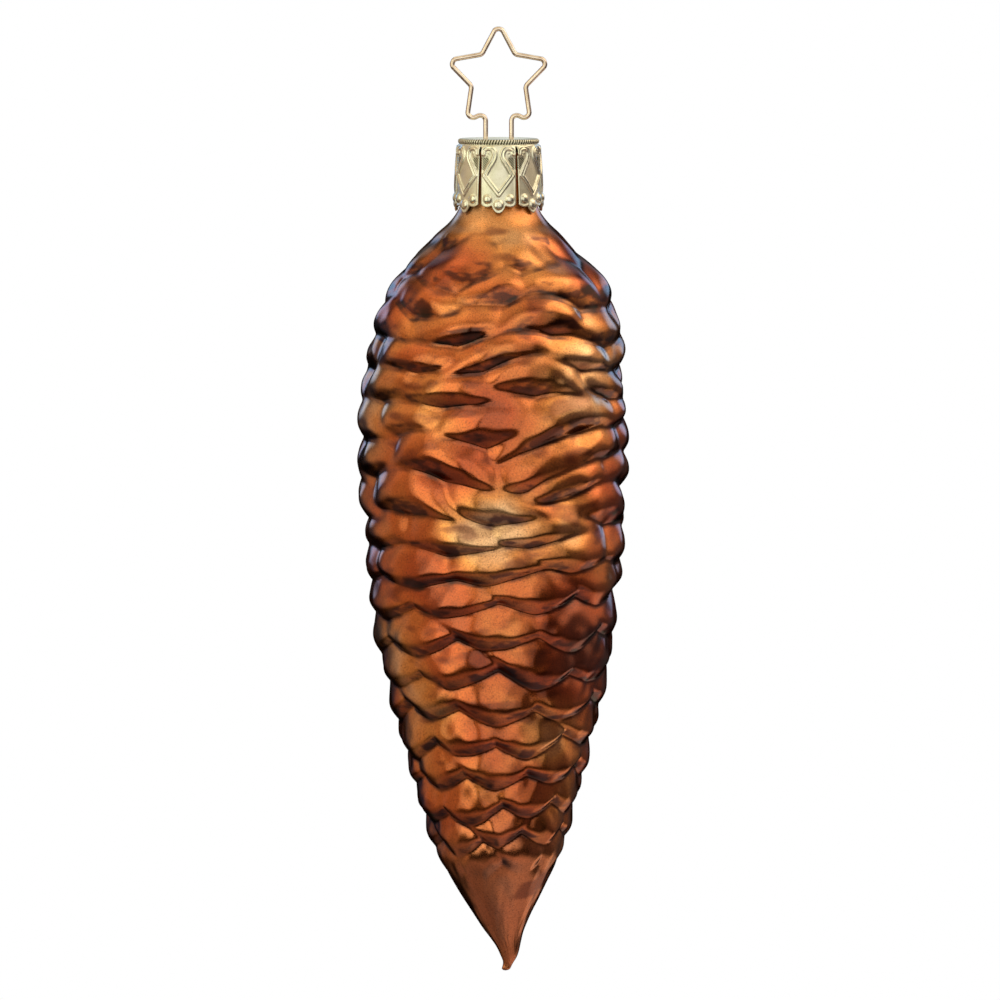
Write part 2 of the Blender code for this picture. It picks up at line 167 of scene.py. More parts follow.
def scale_relief(phi, z):
    """Height of the moulded scales over the mean surface, at the angle phi from the front and height z."""
    draw = np.random.default_rng(SEED)
    count = int((ROWS + 12) * AROUND)
    shift_u, shift_v, tilt, lift, ridge, slant = draw.uniform(-1.0, 1.0, (6, count))
    t = (FIELD[0] - z) / (FIELD[0] - FIELD[1])                # 0 at the shoulder, 1 where scales end
    row = ROWS * (t + 0.07 * np.sin(2 * math.pi * t) / (2 * math.pi))  # rows lie closer at both ends
    lower = soft_step(t, 0.42, 0.62)                          # the lower half, with zigzag lips
    upper = soft_step(t, -0.04, 0.10) * (1 - lower)           # the upper half, with lens shaped hollows
    rough = 0.55 + 0.75 * upper                               # how unevenly the scales were pressed
    phi_waved = phi + rough * 0.045 * ripple(phi, row, draw, 6, 6, 1.3)
    row_waved = row + rough * 0.18 * ripple(phi, row, draw, 6, 7, 1.0)
    swell = (0.055 + 0.055 * upper) * ripple(phi, row, draw, 12, 17, 3.4)
    streak = 0.10 * (1 - soft_step(t, 0.10, 0.30)) * ripple(phi, row, draw, 8, 5, 6.0)
    shoulder = 1 - soft_step(t, 0.12, 0.24)                   # the first rows, which are hardly stepped
    side_drop = 0.36 - 0.14 * upper                           # how far a scale falls to its sides
    steep = 1.0 - 0.65 * shoulder + 0.6 * lower               # how steep its lip is
    ridge_round = 0.23 + 0.06 * upper - 0.17 * shoulder
    foot_round = 0.09 + 0.05 * upper * (1 - shoulder)
    step = 2 * math.pi / AROUND
    nearest = np.floor(row * AROUND).astype(int)
    height = np.full(np.broadcast(phi, z).shape, LOWEST)
    for offset in range(-NEIGHBOURS, NEIGHBOURS + 1):
        k = nearest + offset
        i = np.clip(k + int(6 * AROUND), 0, count - 1)
        turn = (phi_waved + k * step + math.pi) % (2 * math.pi) - math.pi
        u = turn / (step / 2) + rough * 0.14 * shift_u[i]     # -1 to 1 across the scale
        v = row_waved - k / AROUND + rough * (0.11 * shift_v[i] + 0.14 * tilt[i] * u)
        edge = 0.22 - 0.10 * upper - 0.08 * ridge[i] + (0.21 - 0.43 * upper) * u * u  # where its ridge runs
        down = v + edge                                       # rows below that ridge
        face = 1.0 + 0.64 * down - 0.26 * down * down
        lip = 1.0 - (steep + 2.6 * lower * u * u) * (0.45 * down + 1.15 * np.maximum(down, 0.0)**2)
        shingle = -soft_max(-face, -lip, ridge_round) - side_drop * u * u
        shingle = shingle + rough * 0.13 * lift[i] + 0.07 * slant[i] * u
        height = soft_max(height, np.where(np.abs(u) < 2.2, shingle, LOWEST), foot_round)
    moulded = (1 + 0.6 * upper) * soft_step(t, 0.0, 0.07) * (1 - soft_step(t, 0.93, 1.02))
    faint = soft_step(t, -0.01, 0.06) * (1 - soft_step(t, 1.0, 1.10))
    return DEPTH * (moulded * (height - 0.62 - 0.18 * upper) + faint * (swell + streak))


print("relief:", ROWS, "rows,", round(ROWS * AROUND), "scales over", round((FIELD[0] - FIELD[1]) / MM), "mm")

# %% [markdown]
# ## The glass as one closed body
#
# Blown glass has an outside and an inside. The outer skin is a fine grid of rings, 0.3 mm apart over the
# scales, so that each facet is real geometry and catches the light by itself. The inner skin is smooth and
# coarser, because only the open mouth shows it. Three sides of the outer skin meet each side of the inner
# one at the mouth, where the cut glass was melted round. Two mesh attributes go with the outer skin for the
# shade painted into the lacquer's colour: how steeply the relief falls, which finds the lips, and how
# sharply it bends inwards, which finds the creases. Both count for more on the shoulder, where the relief
# is shallow, so that the painted shade is strong there too.

# %% Outer skin
SIDES = 264
NECK_END, SCALED = 26.0 * MM, 32.0 * MM         # depths where the neck ends and where the relief is full
UNEVEN = 0.045 * MM             # fine unevenness that hot glass keeps
INSET = 0.09 * MM               # keeps the finest peaks inside the solid model
SHOULDER_SHADE_GAIN = 1.3                    # how much stronger the painted shade of lips and creases is on the shoulder


def ring_grid(sides, *stations):
    """Angle and height of every point in a grid of rings, with the rings' heights in millimetres."""
    return np.meshgrid(np.arange(sides) * 2 * math.pi / sides, np.concatenate(stations) * MM)


def outer_skin():
    """Grid of the outer skin: its angles, heights and points, and for the painted shade in the lacquer its
    fall and its bend.
    """
    phi, z = ring_grid(SIDES, np.linspace(-16.65, -26.0, 17)[:-1], np.linspace(-26.0, -118.0, 292)[:-1],
                       np.linspace(-118.0, -131.5, 32))
    blown = ripple(phi, -z / (4.8 * MM), np.random.default_rng(SEED + 1), 24, 36, 9.0)
    blown = blown * soft_step(-z, 25.5 * MM, SCALED) * (1 - 0.7 * soft_step(-z, 114.0 * MM, 119.0 * MM))
    relief = scale_relief(phi, z) + UNEVEN * blown
    inset = INSET * soft_step(-z, NECK_END, SCALED)
    points = point_on_glass(phi, z, smooth_through(PROFILE, z) + relief - inset)
    depths = -z[:, 0]
    slope = np.gradient(relief, depths, axis=0)
    # Painted shade: this gain makes the lips and creases darker on the shoulder.
    shade_gain = 1.0 + SHOULDER_SHADE_GAIN * (1 - soft_step(-z, 36.0 * MM, 50.0 * MM))
    bend = np.gradient(slope, depths, axis=0) * MM * shade_gain
    bend[1:-1] = (bend[:-2] + 2 * bend[1:-1] + bend[2:]) / 4
    return phi, z, points, np.clip(-slope * shade_gain, 0.0, 1.5), bend


phi, z, outer_points, sheer, bend = outer_skin()
print("outer skin:", len(z), "rings, steepest fall", round(sheer.max(), 2))

# %% Inner skin
INNER_SIDES = 88
BORE = 4.2 * MM
WALL = 0.75 * MM                # under the deepest recess
BEHIND_SCALES = 1.35 * MM       # wall added behind the scales, so that the inner skin stays smooth


def inner_skin():
    """Heights and points of the inner skin's rings, from the mouth down."""
    phi, z = ring_grid(INNER_SIDES, np.linspace(-16.7, -26.0, 12)[:-1], np.linspace(-26.0, -121.0, 60))
    inset = WALL + BEHIND_SCALES * soft_step(-z, NECK_END, SCALED)
    radius = np.maximum(smooth_through(PROFILE, z) - inset, 0.9 * MM)
    radius = BORE + (radius - BORE) * soft_step(-z, 23.5 * MM, NECK_END)
    return z[:, 0], point_on_glass(phi, z, radius)


inner_heights, inner_points = inner_skin()
print("inner skin:", len(inner_heights), "rings")


# %% Faces of the glass
def faces_between(start, rings, sides, inward=False):
    """Quads of a grid of rings whose first vertex has the index start."""
    index = start + np.arange(rings * sides).reshape(rings, sides)
    a, b = index[:-1], np.roll(index, -1, axis=1)[:-1]
    d, c = index[1:], np.roll(index, -1, axis=1)[1:]
    order = (a, b, c, d) if inward else (a, d, c, b)
    return [tuple(int(i) for i in quad) for quad in np.stack(order, -1).reshape(-1, 4)]


def faces_to_point(ring, sides, point, inward=False):
    """Triangles that close a ring, whose first vertex is given, with one point."""
    pairs = [(ring + i, ring + (i + 1) % sides) for i in range(sides)]
    return [(a, b, point) if inward else (b, a, point) for a, b in pairs]


def melted_rim(crown, inner):
    """Faces over the mouth, from the outer skin's first ring over the crown to the inner skin's."""
    faces = [(crown + i, i, (i + 1) % SIDES, crown + (i + 1) % SIDES) for i in range(SIDES)]
    for i in range(INNER_SIDES):
        here, onward = inner + i, inner + (i + 1) % INNER_SIDES
        a, b, c, d = (crown + j % SIDES for j in range(3 * i, 3 * i + 4))
        faces += [(a, b, here), (b, c, here), (here, c, onward), (c, d, onward)]
    return faces


# %% Glass mesh
NUB = ((0.86, 0.22 * MM), (0.55, 0.40 * MM))    # its rounded end: share of the last ring's radius, and drop
MOUTH = (4.66 * MM, -16.4 * MM)         # radius and height of the melted rim of the open neck


def glass_mesh():
    verts = [tuple(p) for p in outer_points.reshape(-1, 3)]
    faces = faces_between(0, len(z), SIDES)
    last = (len(z) - 1) * SIDES
    for share, drop in NUB:
        ring = point_on_glass(phi[-1], z[-1] - drop, smooth_through(PROFILE, z[-1]) * share)
        verts += [tuple(p) for p in ring]
        faces += faces_between(last, 2, SIDES)
        last += SIDES
    verts.append((smooth_through(LEAN, np.array(TIP)).item(), 0.0, TIP))
    faces += faces_to_point(last, SIDES, len(verts) - 1)
    outer_faces = len(faces)

    inner = len(verts)
    verts += [tuple(p) for p in inner_points.reshape(-1, 3)]
    faces += faces_between(inner, len(inner_heights), INNER_SIDES, inward=True)
    bottom = inner_heights[-1] - 1.0 * MM
    verts.append((smooth_through(LEAN, bottom).item(), 0.0, bottom))
    faces += faces_to_point(len(verts) - 1 - INNER_SIDES, INNER_SIDES, len(verts) - 1, inward=True)

    crown = len(verts)
    radius, top = (np.full(SIDES, value) for value in MOUTH)
    verts += [tuple(p) for p in point_on_glass(phi[0], top, radius)]
    faces += melted_rim(crown, inner)

    mesh = bpy.data.meshes.new("glass_skin")
    mesh.from_pydata(verts, [], faces)
    mesh.polygons.foreach_set("material_index", [0 if n < outer_faces else 1 for n in range(len(faces))])
    for name, values in (("sheer", sheer), ("bend", bend)):
        padded = list(values.ravel()) + [0.0] * (len(verts) - values.size)
        mesh.attributes.new(name, "FLOAT", "POINT").data.foreach_set("value", padded)
    mesh.shade_smooth()
    return mesh


glass = new_object("glass_skin", glass_mesh())
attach(glass, "root")
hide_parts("glass")
print("glass:", len(glass.data.vertices), "points,",
      sum(len(p.vertices) - 2 for p in glass.data.polygons), "triangles")

# %% [markdown]
# ## Shared finishes: small node groups
#
# Lacquer, stamped sheet and wire share the same effects at different strengths: a fine grain of specks, and
# a mask of the recesses, through which the colour is darkened there; on the lacquer that darkening is
# painted shade. Each effect is a node group with named inputs and outputs, so it is drawn once and placed
# in every material that needs it with its own values. The groups put out only masks and heights; the
# shader stays in the material itself.

# %% Node helpers
def new_group(name, inputs, outputs):
    """A shader node group with float or vector inputs given as (name, kind, default)."""
    group = bpy.data.node_groups.new(name, "ShaderNodeTree")
    for label, kind, default in inputs:
        socket = group.interface.new_socket(label, in_out="INPUT", socket_type=kind)
        if default is not None:
            socket.default_value = default
    for label, kind in outputs:
        group.interface.new_socket(label, in_out="OUTPUT", socket_type=kind)
    return group, group.nodes.new("NodeGroupInput"), group.nodes.new("NodeGroupOutput")


def node(tree, kind, values=(), links=(), **settings):
    """Add a node, set its settings and socket values, and link (socket, from_output) pairs into it."""
    made = tree.nodes.new(kind)
    for key, value in settings.items():
        setattr(made, key, value)
    for key, value in dict(values).items():
        made.inputs[key].default_value = value
    for key, source in dict(links).items():
        tree.links.new(source, made.inputs[key])
    return made


def noise(tree, place, scale, detail):
    """Cloudy noise at a place, with about as many clouds to a metre as the scale."""
    made = node(tree, "ShaderNodeTexNoise", {"Scale": scale, "Detail": detail}, {"Vector": place})
    return made.outputs["Fac"]


def ranged(tree, source, start, end, at_start=0.0, at_end=1.0, soft=False):
    """Map the values between start and end onto another range, evenly or with soft ends."""
    return node(tree, "ShaderNodeMapRange",
                {"From Min": start, "From Max": end, "To Min": at_start, "To Max": at_end}, {"Value": source},
                interpolation_type="SMOOTHSTEP" if soft else "LINEAR").outputs["Result"]


def maths(tree, operation, a, b):
    return node(tree, "ShaderNodeMath", {}, {0: a, 1: b}, operation=operation).outputs[0]


def colour_ramp(tree, source, stops):
    """A colour ramp over the given (position, colour) stops."""
    ramp = node(tree, "ShaderNodeValToRGB", links={"Fac": source})
    elements = ramp.color_ramp.elements
    elements[0].position, elements[1].position = stops[0][0], stops[-1][0]
    elements[0].color, elements[1].color = (*stops[0][1], 1.0), (*stops[-1][1], 1.0)
    for position, colour in stops[1:-1]:
        elements.new(position).color = (*colour, 1.0)
    return ramp.outputs["Color"]


# %% Grain and recess groups
SPECK_EDGE = 0.10               # how softly a speck fades at its edge

grain_group, given, gives = new_group(
    "fine_grain",
    [("Vector", "NodeSocketVector", None), ("Scale", "NodeSocketFloat", 5000.0),
     ("Speck Share", "NodeSocketFloat", 0.4)],
    [("Specks", "NodeSocketFloat"), ("Height", "NodeSocketFloat")])
specks = node(grain_group, "ShaderNodeTexNoise", {"Detail": 2.0, "Roughness": 0.6},
              {"Vector": given.outputs["Vector"], "Scale": given.outputs["Scale"]})
low = node(grain_group, "ShaderNodeMath", {1: SPECK_EDGE}, {0: given.outputs["Speck Share"]},
           operation="SUBTRACT")
cut = node(grain_group, "ShaderNodeMapRange", {},
           {"Value": specks.outputs["Fac"], "From Min": given.outputs["Speck Share"],
            "From Max": low.outputs[0]}, interpolation_type="SMOOTHSTEP")
grain_group.links.new(cut.outputs["Result"], gives.inputs["Specks"])
grain_group.links.new(specks.outputs["Fac"], gives.inputs["Height"])

recess_group, given, gives = new_group(
    "recess_mask",
    [("Relief", "NodeSocketFloat", 0.0), ("Deep", "NodeSocketFloat", -1.0), ("High", "NodeSocketFloat", 0.5)],
    [("Recess", "NodeSocketFloat")])
mask = node(recess_group, "ShaderNodeMapRange", {"To Min": 1.0, "To Max": 0.0},
            {"Value": given.outputs["Relief"], "From Min": given.outputs["Deep"],
             "From Max": given.outputs["High"]}, interpolation_type="SMOOTHSTEP")
recess_group.links.new(mask.outputs["Result"], gives.inputs["Recess"])
print("groups:", grain_group.name, recess_group.name)

# %% Materials and the groups placed in them
def new_material(name):
    """A material, its node tree and shader, and the place on the object that patterns are drawn from."""
    material = bpy.data.materials.new(name)
    material.use_nodes = True
    tree = material.node_tree
    return material, tree, tree.nodes["Principled BSDF"], node(tree, "ShaderNodeTexCoord").outputs["Object"]


def attribute(tree, name):
    return node(tree, "ShaderNodeAttribute", attribute_name=name).outputs["Fac"]


def grained(tree, place, scale, speck_share):
    """The grain group in a material: its specks and its height."""
    made = node(tree, "ShaderNodeGroup", {"Scale": scale, "Speck Share": speck_share}, {"Vector": place},
                node_tree=grain_group)
    return made.outputs["Specks"], made.outputs["Height"]


def recessed(tree, relief, deep, high):
    """The recess group in a material: 1 where the relief is at the deep value, 0 at the high one."""
    return node(tree, "ShaderNodeGroup", {"Deep": deep, "High": high}, {"Relief": relief},
                node_tree=recess_group).outputs["Recess"]


# %% Layers of colour, and bumps
WHITE = (1.0, 1.0, 1.0)


def blended(tree, share, first, second, how="MIX"):
    """Mix two colours, given as outputs or as fixed colours, by a share that is an output or a number."""
    mix = node(tree, "ShaderNodeMix", data_type="RGBA", blend_type=how)
    for index, source in ((0, share), (6, first), (7, second)):
        if isinstance(source, (int, float)):
            mix.inputs[index].default_value = source
        elif isinstance(source, tuple):
            mix.inputs[index].default_value = (*source, 1.0)
        else:
            tree.links.new(source, mix.inputs[index])
    return mix.outputs[2]


def darkened(tree, colour, share, dark_colour):
    """Lay a darker colour over a colour as a glaze, by the share: it serves specks and also painted shade."""
    return blended(tree, 1.0, colour, blended(tree, share, WHITE, dark_colour), how="MULTIPLY")


def dimpled(tree, shader, height, strength, distance):
    """Roughen a shader's surface with a fine height that is too small for the mesh."""
    bump = node(tree, "ShaderNodeBump", {"Strength": strength, "Distance": distance}, {"Height": height})
    tree.links.new(bump.outputs["Normal"], shader.inputs["Normal"])


# %% [markdown]
# ## Lacquer over silvered glass
#
# The colour isn't paint in the usual sense: a mirror lies under a clear amber coat, so the glass reflects
# the room and tints it. A metallic Principled shader does just that, with the amber as its base colour and
# a clear coat on top for the paler sheen. The lacquer was sprayed and dipped by hand, so it is cream and
# gold where it lies thin and red brown or umber where it lies thick. One slow noise stands for that
# thickness, with a few broad places where the piece is plainly paler or darker, and a colour ramp turns
# thickness into tint. Those broad places are partly painted light: the paler ones are painted highlights
# where the highlights fall, and darker ones such as the one on the lower right flank are painted shade.
# The tip was drawn out of the flame after moulding and took the colour as an even brown.

# %% Lacquer: tint by thickness, with painted highlights and painted shade
AMBER_RED, AMBER, AMBER_GOLD = (0.50, 0.095, 0.022), (0.60, 0.155, 0.036), (0.70, 0.28, 0.075)
CREAM, UMBER, TIP_BROWN = (0.78, 0.48, 0.26), (0.24, 0.06, 0.03), (0.57, 0.205, 0.09)
# Middle and reach of each broad place in millimetres, and how much paler the tint is there, darker below
# zero: the paler places are painted highlights, the darker ones painted shade in places and thicker lacquer
# elsewhere
PAINTED_LIGHT_AND_LACQUER_PLACES = [((11, -14, -46), 14, 0.18), ((-2, -18, -67), 9, 0.20), ((-12, -11, -92), 8, 0.11),
        ((0, -6, -26), 12, 0.18), ((-13, -12, -55), 11, -0.12), ((-1, -18, -52), 9, -0.17),
        ((13, -12, -84), 17, -0.20), ((-2, -9, -113), 11, -0.14), ((-7, -9, -30), 8, -0.06),
        ((3, -14, -98), 22, -0.07)]
DRAWN_FROM = -107.0 * MM        # the tip's even brown begins here and is full where the scales end

lacquer, tree, shader, place = new_material("amber_lacquer")
thinness_and_light = noise(tree, place, 62.0, 3.0)
# The broad places paint highlights and shade into the tint, on top of the lacquer's thickness.
for spot, reach, amount in PAINTED_LIGHT_AND_LACQUER_PLACES:
    away = node(tree, "ShaderNodeVectorMath", {1: Vector(spot) * MM}, {0: place}, operation="DISTANCE")
    near = ranged(tree, away.outputs["Value"], reach * MM, 0.0, at_end=amount, soft=True)
    thinness_and_light = maths(tree, "ADD", thinness_and_light, near)
tint = colour_ramp(tree, thinness_and_light, [(0.24, UMBER), (0.38, AMBER_RED), (0.49, AMBER), (0.61, AMBER_GOLD),
                                    (0.74, CREAM)])
level = node(tree, "ShaderNodeSeparateXYZ", links={0: place}).outputs["Z"]
drawn_out = ranged(tree, level, DRAWN_FROM, FIELD[1], at_end=0.85, soft=True)
tint = blended(tree, drawn_out, tint, TIP_BROWN)
print("tint:", len(PAINTED_LIGHT_AND_LACQUER_PLACES), "broad places,", len(tree.nodes), "nodes")

# %% [markdown]
# Shade is painted into the lacquer's colour where the glass falls away: the lips are darkened, patchy
# smears of painted shade lie in the hollows under them, and a thin dark line of painted shade runs along the
# creases. Ambient occlusion could find those places too, but the two attributes of the mesh do it without
# any tracing, and they export.

# %% Lacquer: painted shade under lips, in the hollows and along creases
LIP_PAINTED_SHADE, HOLLOW_PAINTED_SHADE, CREASE_PAINTED_SHADE = (0.46, 0.30, 0.24), (0.26, 0.18, 0.22), (0.15, 0.10, 0.12)
LYING = (1.0, 1.0, 2.2)         # squeezes noise upright, so that its clouds lie along the rows

fall, turn_in = attribute(tree, "sheer"), attribute(tree, "bend")
along_rows = node(tree, "ShaderNodeVectorMath", {1: LYING}, {0: place}, operation="MULTIPLY").outputs[0]
cloudy = noise(tree, along_rows, 260.0, 2.0)
# Painted shade: the lips, the hollows under them and the creases are darkened in the colour.
tint = darkened(tree, tint, recessed(tree, fall, 1.4, 0.3), LIP_PAINTED_SHADE)
hollow_shade_patches = ranged(tree, cloudy, 0.46, 0.60, soft=True)
tint = darkened(tree, tint, maths(tree, "MULTIPLY", hollow_shade_patches, recessed(tree, fall, 0.50, 0.12)), HOLLOW_PAINTED_SHADE)
patchy = ranged(tree, cloudy, 0.36, 0.60, at_start=0.25)
tint = darkened(tree, tint, maths(tree, "MULTIPLY", patchy, recessed(tree, turn_in, 1.15, 0.05)), CREASE_PAINTED_SHADE)
print("with what gathers:", len(tree.nodes), "nodes")

# %% [markdown]
# Three finer things follow: smoky dark clouds a few millimetres long, which are painted dark reflections
# placed by noise, dark specks from handling and age, and a sandy grain that makes the tint sparkle a little
# instead of lying flat.

# %% Lacquer: painted dark reflections, specks and sand
SMOKY_PAINTED_REFLECTION, SPECK = (0.30, 0.17, 0.15), (0.58, 0.52, 0.50)

# Painted dark reflections: smoky clouds from noise darken the tint.
dark_reflection_clouds = ranged(tree, noise(tree, along_rows, 170.0, 1.0), 0.54, 0.70, at_end=0.75, soft=True)
tint = darkened(tree, tint, dark_reflection_clouds, SMOKY_PAINTED_REFLECTION)
specks, grain_height = grained(tree, place, 5200.0, 0.43)
tint = darkened(tree, tint, specks, SPECK)
_, sand = grained(tree, place, 3900.0, 0.4)
sanded = colour_ramp(tree, sand, [(0.38, (0.86, 0.85, 0.84)), (0.5, (0.98, 0.98, 0.98)),
                                  (0.62, (1.08, 1.08, 1.09))])
tint = blended(tree, 1.0, tint, sanded, how="MULTIPLY")
tree.links.new(tint, shader.inputs["Base Color"])
print("with fine marks:", len(tree.nodes), "nodes")

# %% [markdown]
# The shine is a satin mirror: roughness of about a fifth, drifting a little, under a clear coat that is
# somewhat sharper. Under the cap the neck was wiped duller, and its top stayed without silver, so that the
# cap's slits show plain brown lacquer instead of a black mirror. The grain's height gives a faint orange
# peel.

# %% Lacquer: shine
SILVER_ENDS = (-24.4 * MM, -23.0 * MM)  # the silver fades out between these heights, going up the neck
WIPED = (-26.5 * MM, -24.5 * MM)        # and the neck turns dull between these

satin = ranged(tree, noise(tree, place, 190.0, 2.0), 0.3, 0.7, 0.18, 0.27)
satin = maths(tree, "ADD", satin, ranged(tree, level, *WIPED, at_end=0.3))
tree.links.new(satin, shader.inputs["Roughness"])
tree.links.new(ranged(tree, level, *SILVER_ENDS, 1.0, 0.15), shader.inputs["Metallic"])
dimpled(tree, shader, grain_height, 0.22, 0.03 * MM)
shader.inputs["Specular Tint"].default_value = (0.27, 0.28, 0.31, 1.0)
shader.inputs["Coat Weight"].default_value = 0.8
shader.inputs["Coat Roughness"].default_value = 0.15
glass.data.materials.append(lacquer)
print("lacquer:", len(tree.nodes), "nodes")

# %% [markdown]
# ## Silver inside
#
# The mirror is a film of silver, swirled wet inside the blown glass. Where the neck shows it from behind it
# is bright but uneven, with brownish clouds where it tarnished.

# %% Silver material
BRIGHT_SILVER, TARNISH = (0.80, 0.78, 0.74), (0.46, 0.38, 0.28)

silver, tree, shader, place = new_material("inner_silver")
cloud = noise(tree, place, 320.0, 4.0)
tree.links.new(colour_ramp(tree, cloud, [(0.35, BRIGHT_SILVER), (0.7, TARNISH)]), shader.inputs["Base Color"])
tree.links.new(ranged(tree, cloud, 0.0, 1.0, 0.12, 0.4), shader.inputs["Roughness"])
shader.inputs["Metallic"].default_value = 1.0
glass.data.materials.append(silver)
print("silver:", len(tree.nodes), "nodes")

# %% [markdown]
# ## The stamped cap: its drawing
#
# The cap is cut and stamped from one thin sheet. Its skirt is slit into seven flaps, which spring open over
# the neck. The same traditional pattern is stamped in each: a ribbon that starts in a curl, runs down round
# a lozenge to a point and up again to a second curl, with three round studs below it over three scallops.
# The ribbon is drawn once as a line of points in millimetres, the curls are rounded by a spline through
# them, and the height of the stamping at any place follows from the distance to that line.

# %% Cap pattern
CAP_TOP = -14.9 * MM
CAP_R = (5.5 * MM, 6.15 * MM)   # radius of the skirt at its top and at its hem
CAP_HEM = -25.1 * MM
HEM_LOBE = 1.7 * MM
FLAPS = 7
SLIT = 0.42 * MM
RIBBON = 0.74                   # width of the ribbon, in millimetres like the rest of the pattern
STUDS = [(-1.55, -8.20, 0.66), (0.0, -9.00, 0.74), (1.55, -8.20, 0.66)]         # x, z and radius
CURL_DOTS = [(1.28, -1.85, 0.16), (1.52, -2.18, 0.12)]


def spline_points(corners, per_span=10):
    """Points on a smooth curve through the corners, from one Catmull-Rom span to the next."""
    c = np.array([corners[0], *corners, corners[-1]], float)
    t = np.linspace(0, 1, per_span, endpoint=False)[:, None]
    spans = [0.5 * (2 * b + (d - a) * t + (2 * a - 5 * b + 4 * d - e) * t**2 + (3 * b - a - 3 * d + e) * t**3)
             for a, b, d, e in zip(c, c[1:], c[2:], c[3:])]
    return np.vstack([*spans, c[-1]])


curl = spline_points([(1.25, -3.75), (0.66, -2.75), (0.50, -1.95), (0.80, -1.30), (1.38, -1.10),
                      (1.92, -1.40), (2.02, -1.92)])
right_ribbon = np.vstack([[(0.0, -7.55), (1.86, -4.95)], curl])
print("ribbon:", len(right_ribbon), "points, studs:", len(STUDS))


# %% Stamping
def ribbon_distance(x, z):
    """Distance from the mirrored ribbon line, for arrays of places on a flap."""
    x = np.abs(x)
    nearest = np.full(x.shape, 9.0)
    for a, b in zip(right_ribbon, right_ribbon[1:]):
        along = b - a
        t = np.clip(((x - a[0]) * along[0] + (z - a[1]) * along[1]) / (along @ along), 0.0, 1.0)
        nearest = np.minimum(nearest, np.hypot(x - a[0] - t * along[0], z - a[1] - t * along[1]))
    return nearest


def dome(out, size):
    """A half round bump of height 1, at a distance from its middle."""
    return np.sqrt(np.maximum(1 - (out / size)**2, 0.0))


def stamped_height(x, z, edge):
    """Height of the stamping, in millimetres, at x and z on a flap and at a distance from the flap's edge."""
    away = ribbon_distance(x, z)
    height = 0.24 * (1 - soft_step(away, 0.5 * RIBBON - 0.16, 0.5 * RIBBON + 0.03))
    height -= 0.15 * (1 - soft_step(away, 0.03, 0.17))                      # a groove down its middle
    height -= 0.13 * np.exp(-((away - 0.5 * RIBBON - 0.08) / 0.07)**2)      # and one on either side of it
    for stud_x, stud_z, size in STUDS:
        out = np.hypot(x - stud_x, z - stud_z)
        groove = 0.12 * np.exp(-((out - size - 0.02) / 0.08)**2)
        height = np.where(out < size, 0.34 * dome(out, size), height) - groove
    for dot_x, dot_z, size in CURL_DOTS:
        for side in (-1, 1):
            height = np.maximum(height, 0.09 * dome(np.hypot(x - side * dot_x, z - dot_z), size))
    hatched = soft_step(np.abs(x), 1.25, 1.4) * soft_step(away, 0.44, 0.50) * soft_step(z, -4.3, -4.1)
    hatched *= 1 - soft_step(z, -2.6, -2.4)
    height += hatched * (0.05 * np.sin(2 * math.pi * (x + z) / 0.34) - 0.06)        # fine slanted hatching
    return height + 0.07 * np.exp(-((edge - 0.16) / 0.08)**2)               # a raised line along the edge


print("stamping: studs", round(stamped_height(*np.array([[0.0], [-9.0], [1.0]])).item(), 2), "mm proud")

# %% [markdown]
# ## The cap as a sheet
#
# The sheet is one grid that runs from the flat top over the rim, which is ribbed on a slant like a rope,
# and down the skirt. Its columns are placed flap by flap, so they can keep to the slits, which widen
# downwards, and its rows bend gradually into the scalloped hem. The faces in the slits are simply left out.
# A flat top with two round holes doesn't fit a grid of rings, so it is triangulated between its rim, the
# holes and a few rings of points. A Solidify modifier then gives the sheet its thickness, which also stamps
# the pattern through to the back.

# %% Columns and hem of the skirt
COLLAR = 0.82 * MM              # the stamped skirt starts this far under the top
SLIT_TOP = 1.05 * MM            # and the slits this far
ACROSS, IN_SLIT = 50, 4         # faces across a flap and across a slit
COLUMNS = FLAPS * (ACROSS + IN_SLIT)


def cap_radius(z):
    drop = np.clip((CAP_TOP - z) / (CAP_TOP - CAP_HEM), 0.0, 1.0)
    return CAP_R[0] + (CAP_R[1] - CAP_R[0]) * drop**0.6


def hem_height(across):
    """Lower edge of a flap, for places from -1 to 1 across it: two corner lobes and a longer middle one."""
    middle, corner = dome(across, 0.40), dome(np.abs(across) - 0.66, 0.40)
    return CAP_HEM + HEM_LOBE - np.maximum(HEM_LOBE * middle, 0.5 * HEM_LOBE * corner)


def cap_columns(z):
    """Angle of every column at the height z, and its place across its own flap, outside -1 to 1 in a slit."""
    drop = np.clip((CAP_TOP - SLIT_TOP - z) / (CAP_TOP - SLIT_TOP - CAP_HEM), 0.0, 1.0)
    half_slit = SLIT * (0.24 + 0.38 * drop) / cap_radius(z)
    share = np.concatenate([np.linspace(-1, 1, ACROSS + 1), 1 + np.arange(1, IN_SLIT) * 2 / IN_SLIT])
    half_flap = math.pi / FLAPS - half_slit
    phi = np.where(share <= 1, share * half_flap, half_flap + (share - 1) * half_slit)
    turns = np.arange(FLAPS)[:, None] * 2 * math.pi / FLAPS
    return (phi[None, :] + turns).ravel(), np.tile(share, FLAPS)


print("columns:", COLUMNS, "round the cap")

# %% Rows of rim and skirt
RIM = [(5.22, 0.0, 0.0), (5.38, 0.03, 0.6), (5.50, 0.12, 1.0), (5.56, 0.25, 1.0), (5.57, 0.39, 1.0),
       (5.55, 0.53, 1.0), (5.49, 0.65, 0.8), (5.44, 0.74, 0.0)]         # radius, drop and how deeply ribbed
RIBS = 90
RIB_SLANT = 0.12                # part of a rib that each row lies further round than the one above
SKIRT_ROWS = 84


def round_axis(phi, z, radius):
    return np.stack([radius * np.sin(phi), -radius * np.cos(phi), z], axis=-1)


